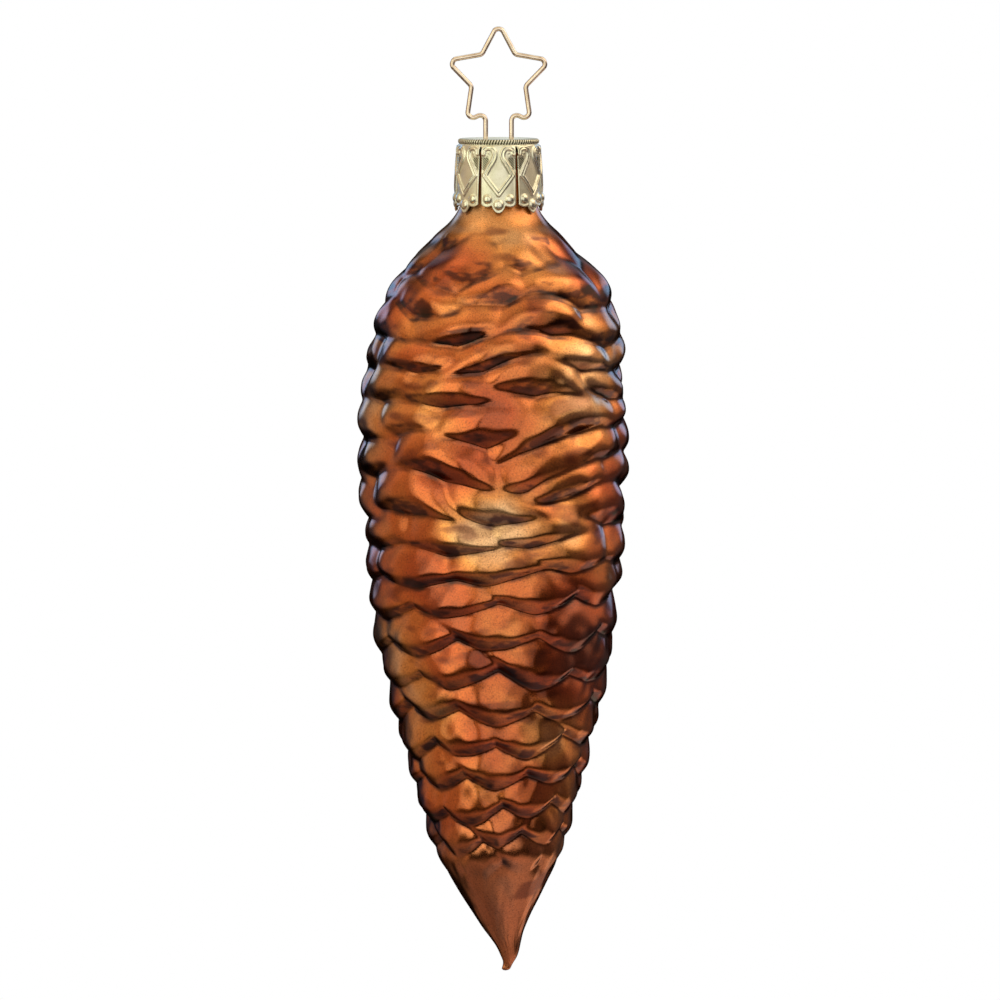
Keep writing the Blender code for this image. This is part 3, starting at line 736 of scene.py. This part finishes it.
def rim_rows():
    """Points of the rim from the edge of the flat top to the collar, and their stamped height."""
    phi, _ = cap_columns(CAP_TOP - COLLAR)
    rows, heights = [], []
    for n, (r, drop, ribbed) in enumerate(RIM):
        ribs = np.cos(2 * math.pi * (np.arange(COLUMNS) * RIBS / COLUMNS + RIB_SLANT * n))
        rows.append(round_axis(phi, np.full(COLUMNS, CAP_TOP - drop * MM), (r + 0.10 * ribbed * ribs) * MM))
        heights.append(0.20 * ribbed * ribs - 0.05 * ribbed)
    return rows, heights


def skirt_rows():
    """Points of the skirt from the collar to the hem, and their stamped height."""
    _, share = cap_columns(CAP_TOP - COLLAR)
    across = np.clip(share, -1, 1)
    hem = hem_height(across)
    rows, heights = [], []
    for drop in np.linspace(0, 1, SKIRT_ROWS + 1):
        z = (CAP_TOP - COLLAR) * (1 - drop) + hem * drop
        phi = np.array([cap_columns(z_here)[0][n] for n, z_here in enumerate(z)])
        x = across * (math.pi / FLAPS * cap_radius(z) - 0.25 * MM) / MM
        side_edge, hem_edge = (1 - np.abs(across)) * 2.4, (z - hem) / MM
        edge = -soft_max(-side_edge, -hem_edge, 0.3)
        height = stamped_height(x, (z - CAP_TOP) / MM, edge) * soft_step(drop, 0.0, 0.03)
        height = np.where(share > 1, 0.0, height)
        rows.append(round_axis(phi, z, cap_radius(z) + height * MM))
        heights.append(height)
    return rows, heights


print("rows:", len(RIM), "in the rim,", SKIRT_ROWS + 1, "in the skirt")

# %% Flat top
LEG_HOLE = 1.4 * MM
LEG_X = 1.8 * MM
HOLE_SIDES = 32
BURR = 0.10 * MM                # the punch left a raised edge round each hole
SUNK = 0.22 * MM                # depth of the flat top below its edge
TOP_RINGS = ((4.95, 189), (4.70, 126), (4.45, 126), (3.8, 84), (3.1, 60), (2.6, 40), (0.9, 12), (0.0, 1))


def to_hole(p):
    """Distance from the middle of the nearer hole."""
    return min((p - Vector((side * LEG_X, 0.0))).length for side in (-1, 1))


def flat_top(edge, start):
    """New points, and triangles over the edge's points from 0 on and the new ones from start on."""
    rings = [Vector((radius * MM * math.sin(a), -radius * MM * math.cos(a))) for radius, number in TOP_RINGS
             for a in (2 * math.pi * (n + 0.21) / number for n in range(number))]
    holes = [Vector((side * LEG_X + grow * LEG_HOLE / 2 * math.cos(a), grow * LEG_HOLE / 2 * math.sin(a)))
             for side in (-1, 1) for grow in (1.0, 1.22)
             for a in (2 * math.pi * (n + 0.3) / HOLE_SIDES for n in range(HOLE_SIDES))]
    flat = edge + holes + [p for p in rings if to_hole(p) > 1.0 * MM]
    outline = [(i, (i + 1) % len(edge)) for i in range(len(edge))]
    made, _, triangles, *_ = delaunay_2d_cdt(flat, outline, [], 0, 1e-9)
    points = []
    for p in made[len(edge):]:
        sunk = SUNK * (1 - soft_step(p.length, 4.50 * MM, 4.95 * MM))
        burr = BURR if abs(to_hole(p) - LEG_HOLE / 2) < 0.02 * MM else 0.0
        points.append((p.x, p.y, CAP_TOP - sunk + burr))
    kept = [corners for corners in triangles
            if to_hole(sum((made[n] for n in corners), Vector((0.0, 0.0))) / 3) > LEG_HOLE / 2 * 0.99]
    return points, [tuple(n if n < len(edge) else start + n - len(edge) for n in corners) for corners in kept]


print("holes:", LEG_HOLE / MM, "mm across,", 2 * LEG_X / MM, "mm apart")

# %% Cap mesh
SHEET = 0.25 * MM


def cap_mesh():
    rim, rim_heights = rim_rows()
    skirt, stamped = skirt_rows()
    rows = np.array(rim + skirt)
    quads = faces_between(0, len(rows), COLUMNS)
    slit = np.tile(np.arange(ACROSS + IN_SLIT) >= ACROSS, FLAPS)
    first_cut = len(rim) + round(SKIRT_ROWS * (SLIT_TOP - COLLAR) / (CAP_TOP - COLLAR - CAP_HEM))
    faces = [q for n, q in enumerate(quads) if not (n // COLUMNS >= first_cut and slit[n % COLUMNS])]
    verts = [tuple(p) for p in rows.reshape(-1, 3)]
    points, triangles = flat_top([Vector((p[0], p[1])) for p in rows[0]], len(verts))

    mesh = bpy.data.meshes.new("cap_sheet")
    mesh.from_pydata(verts + points, [], faces + triangles)
    heights = list(np.concatenate(rim_heights + stamped)) + [0.0] * len(points)
    mesh.attributes.new("relief", "FLOAT", "POINT").data.foreach_set("value", heights)
    bm = bmesh.new()
    bm.from_mesh(mesh)
    bmesh.ops.delete(bm, geom=[v for v in bm.verts if not v.link_faces], context="VERTS")
    bmesh.ops.recalc_face_normals(bm, faces=bm.faces)
    bm.to_mesh(mesh)
    bm.free()
    mesh.shade_smooth()
    return mesh


cap = new_object("cap_sheet", cap_mesh())
sheet = cap.modifiers.new("sheet", "SOLIDIFY")
sheet.thickness = SHEET
sheet.offset = -1.0
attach(cap, "root")
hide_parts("cap")
print("cap:", len(cap.data.polygons), "faces on the outside")

# %% [markdown]
# ## Pale gilt sheet
#
# The sheet has a pale champagne wash, between silver and gold. Handling polishes what stands proud, and
# the colour is darker where the stamping lies deep, so the stamped height drives both colour and roughness.
# A fine grain keeps the flat fields satin.

# %% Cap material
GILT = [(0.35, (0.76, 0.78, 0.67)), (0.55, (0.86, 0.89, 0.80)), (0.7, (0.92, 0.95, 0.89))]
DEEP_STAMPING_DARK, GILT_SPECK = (0.13, 0.13, 0.10), (0.6, 0.56, 0.5)

gilt, tree, shader, place = new_material("pale_gilt")
relief = attribute(tree, "relief")
wash = colour_ramp(tree, noise(tree, place, 420.0, 4.0), GILT)
# Darker where the stamping lies deep.
wash = darkened(tree, wash, recessed(tree, relief, -0.07, -0.005), DEEP_STAMPING_DARK)
specks, grain_height = grained(tree, place, 9000.0, 0.40)
tree.links.new(darkened(tree, wash, specks, GILT_SPECK), shader.inputs["Base Color"])
tree.links.new(ranged(tree, relief, 0.0, 0.18, 0.44, 0.24), shader.inputs["Roughness"])
dimpled(tree, shader, grain_height, 0.35, 0.02 * MM)
shader.inputs["Metallic"].default_value = 1.0
cap.data.materials.append(gilt)
print("gilt:", len(tree.nodes), "nodes")

# %% [markdown]
# ## The wire star
#
# One piece of spring wire is bent into a five pointed star. Its two ends go down through the holes in the
# cap and spring apart inside the neck, which is what holds the cap on the glass. A curve is the natural
# tool: the star's corners are joined by straight wire, each bend is an arc of the bending pin's radius, and
# the curve's round bevel gives the wire its thickness.

# %% Bending wire
SWEEP_STEP = 0.1                # radians of a bend between one point and the next


def bent_wire(corners, radius):
    """Points along a wire through its corners (x, z), each bent round an arc of the given radius."""
    points = [Vector(corners[0])]
    for before, corner, after in zip(corners, corners[1:], corners[2:]):
        corner = Vector(corner)
        to, onward = (Vector(before) - corner).normalized(), (Vector(after) - corner).normalized()
        half = to.angle(onward) / 2
        centre = corner + (to + onward).normalized() * radius / math.sin(half)
        start = corner + to * radius / math.tan(half) - centre
        sweep = start.angle_signed(corner + onward * radius / math.tan(half) - centre)
        steps = max(3, round(abs(sweep) / SWEEP_STEP))
        for n in range(steps + 1):
            a = -sweep * n / steps
            points.append(centre + Vector((start.x * math.cos(a) - start.y * math.sin(a),
                                           start.x * math.sin(a) + start.y * math.cos(a))))
    return points + [Vector(corners[-1])]


# %% Wire hanger
WIRE = 0.68 * MM
STAR_TIP = 7.6 * MM             # from the star's middle to where a point's straight sides would meet
STAR_NOTCH = 0.52               # and to a notch, as a share of that
STAR_BEND = 0.75 * MM
HALF_POINT = math.radians(27.8)         # half the angle of a point
LEG_SPREAD = 3.5 * MM
LEG_FOOT = (7.2 * MM, -31.0 * MM)


def star_corners():
    """Corners (x, z) of the wire from one spring leg in the neck, round the star, to the other."""
    middle = WIRE / 2 - STAR_TIP + STAR_BEND * (1 / math.sin(HALF_POINT) - 1)
    right = []
    for degrees, reach in ((54, STAR_NOTCH), (18, 1.0), (-18, STAR_NOTCH), (-54, 1.0)):
        right.append((STAR_TIP * reach * math.cos(math.radians(degrees)),
                      middle + STAR_TIP * reach * math.sin(math.radians(degrees))))
    foot = right[-1]
    notch = middle - STAR_TIP * STAR_NOTCH
    right.append((LEG_X, foot[1] + (notch - foot[1]) * (foot[0] - LEG_X) / foot[0]))
    right += [(LEG_X, CAP_TOP - 0.9 * MM), (LEG_SPREAD, CAP_TOP - 3.4 * MM), (LEG_SPREAD, -25.2 * MM),
              LEG_FOOT]
    left = [(-x, z) for x, z in reversed(right)]
    return left + [(0.0, middle + STAR_TIP)] + right


wire_curve = bpy.data.curves.new("wire_star", "CURVE")
wire_curve.dimensions = "3D"
wire_curve.bevel_depth = WIRE / 2
wire_curve.bevel_resolution = 6
wire_curve.use_fill_caps = True
wire_points = bent_wire(star_corners(), STAR_BEND)
spline = wire_curve.splines.new("POLY")
spline.points.add(len(wire_points) - 1)
for point, (x, z) in zip(spline.points, wire_points):
    point.co = (x, 0.0, z, 1.0)
drawn = bpy.data.objects.new("wire_line", wire_curve)
wire_mesh = bpy.data.meshes.new_from_object(drawn)
wire_mesh.shade_smooth()
bpy.data.objects.remove(drawn)
wire = new_object("wire_star", wire_mesh)
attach(wire, "root")
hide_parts("hanger")
length = sum((b - a).length for a, b in zip(wire_points, wire_points[1:]))
print("wire:", len(wire_points), "points,", round(length / MM, 1), "mm long,", WIRE / MM, "mm thick")

# %% [markdown]
# ## Drawn wire
#
# The wire has a faint rose gold wash and a fine grain from the die it was drawn through. Bending scuffs it
# here and there, so slow noise moves its roughness as well as its colour.

# %% Wire material
ROSE, PALE_ROSE, ROSE_SPECK = (0.72, 0.62, 0.55), (0.88, 0.81, 0.76), (0.8, 0.74, 0.70)

rose, tree, shader, place = new_material("rose_wire")
scuffs = noise(tree, place, 700.0, 3.0)
wash = colour_ramp(tree, scuffs, [(0.35, ROSE), (0.6, PALE_ROSE)])
specks, grain_height = grained(tree, place, 8000.0, 0.33)
tree.links.new(darkened(tree, wash, specks, ROSE_SPECK), shader.inputs["Base Color"])
tree.links.new(ranged(tree, scuffs, 0.0, 1.0, 0.14, 0.28), shader.inputs["Roughness"])
dimpled(tree, shader, grain_height, 0.05, 0.01 * MM)
shader.inputs["Metallic"].default_value = 1.0
wire_mesh.materials.append(rose)
print("wire finish:", len(tree.nodes), "nodes")

# %% [markdown]
# ## The studio
#
# Mirrors show the room, so the light here is really a room for the glass to reflect. Two big soft boxes
# stand side by side before it, each with a brighter core, and a narrow dark gap between them where the
# camera looks through: each scale shows that pair as a bright lozenge split by a thin dark line. The boxes
# are area lights. The floor is pale and dull, and mirrors don't show it, because the room painted round the
# piece stands for it.

# %% Soft boxes
CENTRE = Vector((0.0, 0.0, -65.0 * MM))
BOX_DISTANCE = 0.9
# Left, right, low and high edge in degrees as seen from the piece, radiance and colour
SOFT_BOXES = {"box_left": (-66, -21.5, -18, 46, 0.70, (1.0, 0.92, 0.66)),
              "box_left_core": (-54, -24, -14, 34, 0.96, (1.0, 0.96, 0.60)),
              "box_right": (-18, 48, -18, 46, 0.54, (1.0, 0.88, 0.70)),
              "box_right_core": (-15, 30, -14, 34, 0.60, (1.0, 0.94, 0.72))}


def direction(azimuth, elevation):
    """Unit vector to a place in the studio: azimuth from the front towards +X, elevation over the horizon."""
    a, e = math.radians(azimuth), math.radians(elevation)
    return Vector((math.sin(a) * math.cos(e), -math.cos(a) * math.cos(e), math.sin(e)))


for name, (left, right, low, high, radiance, colour) in SOFT_BOXES.items():
    light = bpy.data.lights.new(name, "AREA")
    light.shape = "RECTANGLE"
    middle = (low + high) / 2
    light.size = 2 * BOX_DISTANCE * math.tan(math.radians(right - left) / 2) * math.cos(math.radians(middle))
    light.size_y = 2 * BOX_DISTANCE * math.tan(math.radians(high - low) / 2)
    light.energy = radiance * math.pi * light.size * light.size_y
    light.color = colour
    box = new_object(name, light)
    box.location = CENTRE + direction((left + right) / 2, middle) * BOX_DISTANCE
    box.rotation_euler = (CENTRE - box.location).to_track_quat("-Z", "Y").to_euler()
    box.visible_camera = False
print("studio:", len(SOFT_BOXES), "soft boxes")

# %% Floor
FLOOR_LEVEL, FLOOR_RADIUS = -0.35, 0.6

floor_mesh = bpy.data.meshes.new("floor")
bm = bmesh.new()
bmesh.ops.create_circle(bm, cap_ends=True, segments=96, radius=FLOOR_RADIUS)
bm.to_mesh(floor_mesh)
bm.free()
floor = new_object("floor", floor_mesh)
floor.location.z = FLOOR_LEVEL
floor.visible_glossy = False
pale, tree, shader, place = new_material("pale_floor")
mottle = colour_ramp(tree, noise(tree, place, 30.0, 3.0),
                     [(0.4, (0.82, 0.82, 0.81)), (0.6, (0.86, 0.86, 0.85))])
tree.links.new(mottle, shader.inputs["Base Color"])
shader.inputs["Roughness"].default_value = 0.8
floor_mesh.materials.append(pale)
print("floor:", 2 * FLOOR_RADIUS, "m across")

# %% [markdown]
# The rest of the room is painted into the world by direction. Its walls are almost dark round the horizon,
# which gives the dark outlines between the scales, brown well below it and softly bright overhead. On them
# lie soft round glows. Golden ones stand high on the right and overhead, brown ones beside and below send
# light up under the lips, and small cool ones behind put blue glints on the shoulders of the scales. The
# camera itself sees plain white.

# %% Room painted into the world
COOL, WARM, PLAIN = (0.75, 0.88, 1.1), (1.0, 0.72, 0.46), (1.0, 0.66, 0.48)
# From straight down (0) to straight up (1): how bright the wall is, and its tint
WALLS = [(0.0, 0.05, COOL), (0.03, 0.12, COOL), (0.07, 0.24, PLAIN), (0.13, 0.34, PLAIN), (0.19, 0.20, WARM),
         (0.25, 0.03, WARM), (0.32, 0.015, PLAIN), (0.43, 0.015, PLAIN), (0.60, 0.03, PLAIN),
         (0.78, 0.18, WARM), (0.92, 0.30, WARM), (1.0, 0.34, WARM)]
# Azimuth, elevation, bright core and whole reach in degrees, and colour
GLOWS = [(-92, 0, 8, 45, (0.50, 0.33, 0.18)), (-95, 50, 5, 35, (0.58, 0.42, 0.22)),
         (78, 42, 10, 37, (1.50, 1.24, 0.84)), (72, -62, 8, 38, (0.30, 0.22, 0.18)),
         (8, -64, 8, 40, (0.12, 0.09, 0.07)), (80, 0, 6, 36, (0.11, 0.075, 0.065)),
         (-6, 84, 6, 46, (0.62, 0.53, 0.33)), (110, 40, 8, 28, (0.70, 0.54, 0.40)),
         (110, 22, 6, 30, (0.62, 0.44, 0.25)), (127, -38, 4, 18, (0.95, 0.70, 0.52)),
         (-122, 6, 8, 36, (0.09, 0.10, 0.13)), (122, -2, 8, 38, (0.14, 0.115, 0.10)),
         (-146, 13, 3, 16, (0.95, 1.5, 2.3)), (146, 13, 3, 16, (0.95, 1.5, 2.3)),
         (180, 42, 6, 34, (0.7, 0.8, 0.9))]

world = bpy.data.worlds.new("studio")
bpy.context.scene.world = world
world.use_nodes = True
room = world.node_tree
facing = node(room, "ShaderNodeTexCoord").outputs["Generated"]
parts = node(room, "ShaderNodeSeparateXYZ", links={0: facing})
stops = [(place_up, tuple(bright * c for c in tone)) for place_up, bright, tone in WALLS]
walls = colour_ramp(room, ranged(room, parts.outputs["Z"], -1.0, 1.0), stops)
dimmer_behind = ranged(room, parts.outputs["Y"], 0.25, 0.75, 0.95, 0.3)
total = node(room, "ShaderNodeBackground", {}, {"Color": walls, "Strength": dimmer_behind}).outputs[0]
for azimuth, elevation, core, reach, colour in GLOWS:
    toward = node(room, "ShaderNodeVectorMath", {1: direction(azimuth, elevation)}, {0: facing},
                  operation="DOT_PRODUCT").outputs["Value"]
    glow = ranged(room, toward, math.cos(math.radians(reach)), math.cos(math.radians(core)), soft=True)
    light = node(room, "ShaderNodeBackground", {"Color": (*colour, 1.0)}, {"Strength": glow})
    total = node(room, "ShaderNodeAddShader", {}, {0: total, 1: light.outputs[0]}).outputs[0]
backdrop = node(room, "ShaderNodeBackground", {"Color": (*WHITE, 1.0)}).outputs[0]
seen = node(room, "ShaderNodeLightPath").outputs["Is Camera Ray"]
shown = node(room, "ShaderNodeMixShader", {}, {0: seen, 1: total, 2: backdrop}).outputs[0]
room.links.new(shown, room.nodes["World Output"].inputs["Surface"])
bpy.context.scene.view_settings.view_transform = "Standard"
print("room:", len(WALLS), "wall tones and", len(GLOWS), "glows")
